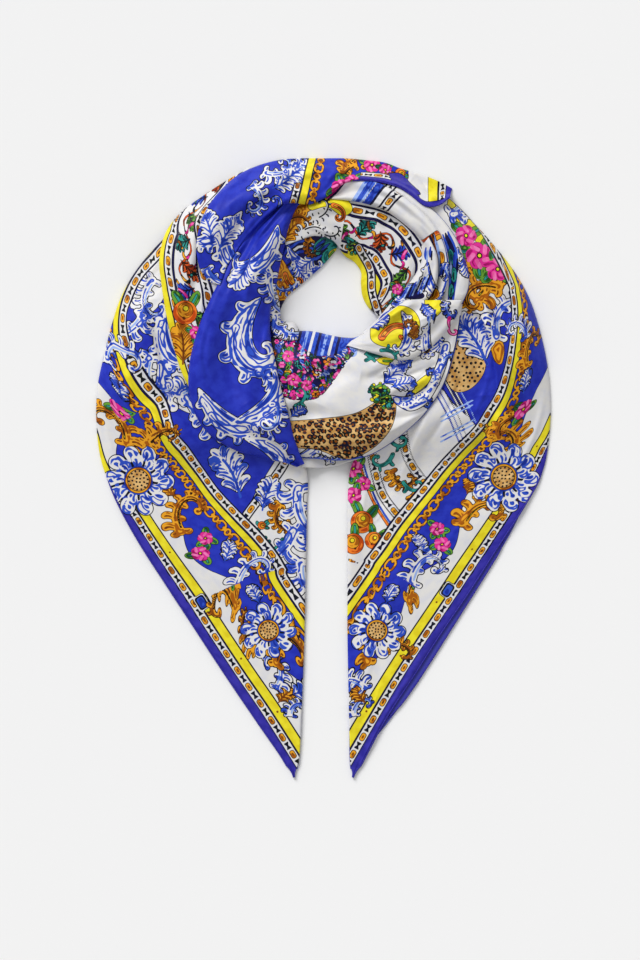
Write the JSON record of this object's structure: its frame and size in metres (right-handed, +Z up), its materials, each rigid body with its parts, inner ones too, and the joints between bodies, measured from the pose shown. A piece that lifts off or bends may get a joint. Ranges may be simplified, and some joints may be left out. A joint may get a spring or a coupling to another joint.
{
  "type": "silk square scarf",
  "caption": "Large printed silk square, folded corner to corner, wound into a loop and laid flat with both pointed tails side by side.",
  "frame": {"origin": "on the table, under the middle of the scarf's box in plan", "axes": "+Z up from the table, +Y from the tail tips towards the top of the loop, +X to the right seen from above"},
  "size_m": [0.5446, 0.7443, 0.0591],
  "materials": {
    "printed_silk": "printed silk twill, satin sheen",
    "silk_reverse": "reverse of printed silk twill",
    "silk_hem": "hand-rolled violet-blue silk hem"
  },
  "bodies": {
    "root": {"core": "printed_silk", "tail_left_back": "silk_reverse", "tail_right_back": "silk_reverse", "tail_left": "printed_silk", "tail_right": "printed_silk", "inner_wall_left": "printed_silk", "inner_band": "printed_silk", "roll_outer": "printed_silk", "roll_middle": "printed_silk", "roll_inner": "printed_silk", "frieze_strand": "printed_silk", "cowl_under": "printed_silk", "cowl_front": "printed_silk", "cowl_twist": "printed_silk", "lip_left": "printed_silk", "strand_left": "printed_silk", "crown_strand": "printed_silk", "hem_left": "silk_hem", "hem_right": "silk_hem", "hem_right_back": "silk_hem", "hem_crown": "silk_hem"}
  },
  "joints": []
}
